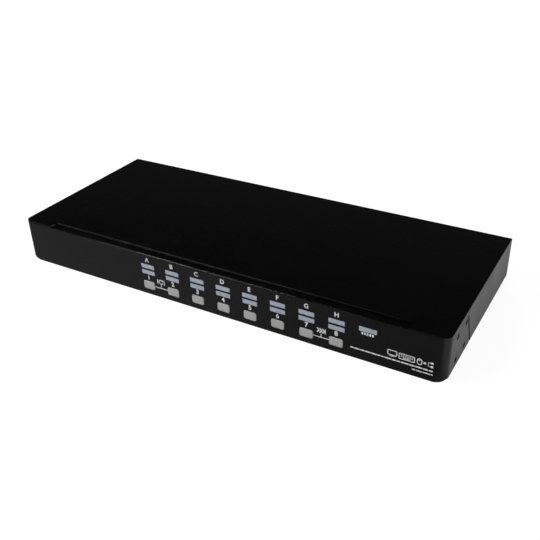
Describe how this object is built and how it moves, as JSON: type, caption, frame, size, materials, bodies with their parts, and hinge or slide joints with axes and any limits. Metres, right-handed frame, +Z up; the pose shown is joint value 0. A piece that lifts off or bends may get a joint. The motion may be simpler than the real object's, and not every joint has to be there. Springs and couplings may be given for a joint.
{
  "type": "kvm switch",
  "caption": "Rack-height keyboard, video and mouse switch: flat steel box with selector buttons and indicator windows in front and stacked D ports, USB sockets and a power inlet behind.",
  "frame": {"origin": "middle of the flat underside of the enclosure, ports left out", "axes": "+X to the right seen from the front, +Y from the front panel to the ports, +Z up"},
  "size_m": [0.436, 0.1837, 0.044],
  "materials": {
    "cover_black": "smooth satin black paint",
    "front_black": "fine satin black paint",
    "black_steel": "fine textured black powder coat",
    "black_screw": "black oxide",
    "zinc_steel": "bright zinc plate",
    "nickel_shell": "satin nickel plate",
    "nickel_pin": "bright nickel plate",
    "brass": "turned, satin",
    "button_grey": "fine matt moulded plastic",
    "window_blue_grey": "translucent, softly frosted",
    "led_body": "clear moulded lens",
    "black_plastic": "moulded plastic",
    "blue_plastic": "moulded plastic",
    "white_plastic": "moulded plastic",
    "chip_black": "epoxy moulding",
    "board_green": "solder mask over copper tracks",
    "ribbon_grey": "flexible vinyl",
    "clear_sheet": "thin polyester film",
    "capacitor_sleeve": "shrink sleeve with bare aluminium top",
    "ferrite": "matt ferrite",
    "crystal_can": "drawn metal can",
    "heat_sink_aluminium": "extruded aluminium"
  },
  "bodies": {
    "chassis": {"base_tray": "black_steel", "front_panel": "front_black", "rear_panel": "black_steel", "top_cover": "cover_black", "ear_nuts": "black_screw", "cover_screws": "black_screw", "rear_panel_screws": "black_screw", "front_panel_screws": "black_screw", "ground_screw": "zinc_steel", "insulating_sheet": "clear_sheet", "main_board": "board_green", "board_standoffs": "brass", "board_screws": "zinc_steel", "front_board": "board_green", "front_board_standoffs": "brass", "front_board_screws": "zinc_steel", "ribbon_cable": "ribbon_grey", "board_headers": "black_plastic", "switch_bodies": "black_plastic", "bank_light_windows": "window_blue_grey", "port_light_windows": "window_blue_grey", "power_light_window": "window_blue_grey", "indicator_leds": "led_body", "port_shells": "nickel_shell", "port_insulators": "black_plastic", "port_housings": "black_plastic", "jackscrews": "zinc_steel", "console_port_shell": "nickel_shell", "console_port_insulator": "blue_plastic", "chain_port_shell": "nickel_shell", "chain_port_insulator": "black_plastic", "usb_shell": "nickel_shell", "usb_tongues": "white_plastic", "dc_jack": "black_plastic", "dc_jack_pin": "nickel_pin", "controller_chip": "chip_black", "switching_chips": "chip_black", "capacitors": "capacitor_sleeve", "inductors": "ferrite", "crystal": "crystal_can", "regulator": "chip_black", "heat_sink": "heat_sink_aluminium", "buzzer": "black_plastic"},
    "key_1": {"button_1": "button_grey", "plunger_1": "black_plastic"},
    "key_2": {"button_2": "button_grey", "plunger_2": "black_plastic"},
    "key_3": {"button_3": "button_grey", "plunger_3": "black_plastic"},
    "key_4": {"button_4": "button_grey", "plunger_4": "black_plastic"},
    "key_5": {"button_5": "button_grey", "plunger_5": "black_plastic"},
    "key_6": {"button_6": "button_grey", "plunger_6": "black_plastic"},
    "key_7": {"button_7": "button_grey", "plunger_7": "black_plastic"},
    "key_8": {"button_8": "button_grey", "plunger_8": "black_plastic"}
  },
  "joints": [
    {"name": "press_button_1", "type": "slide", "parent": "chassis", "child": "key_1", "axis": [0, 1, 0], "range_m": [0, 0.0006]},
    {"name": "press_button_2", "type": "slide", "parent": "chassis", "child": "key_2", "axis": [0, 1, 0], "range_m": [0, 0.0006]},
    {"name": "press_button_3", "type": "slide", "parent": "chassis", "child": "key_3", "axis": [0, 1, 0], "range_m": [0, 0.0006]},
    {"name": "press_button_4", "type": "slide", "parent": "chassis", "child": "key_4", "axis": [0, 1, 0], "range_m": [0, 0.0006]},
    {"name": "press_button_5", "type": "slide", "parent": "chassis", "child": "key_5", "axis": [0, 1, 0], "range_m": [0, 0.0006]},
    {"name": "press_button_6", "type": "slide", "parent": "chassis", "child": "key_6", "axis": [0, 1, 0], "range_m": [0, 0.0006]},
    {"name": "press_button_7", "type": "slide", "parent": "chassis", "child": "key_7", "axis": [0, 1, 0], "range_m": [0, 0.0006]},
    {"name": "press_button_8", "type": "slide", "parent": "chassis", "child": "key_8", "axis": [0, 1, 0], "range_m": [0, 0.0006]}
  ]
}
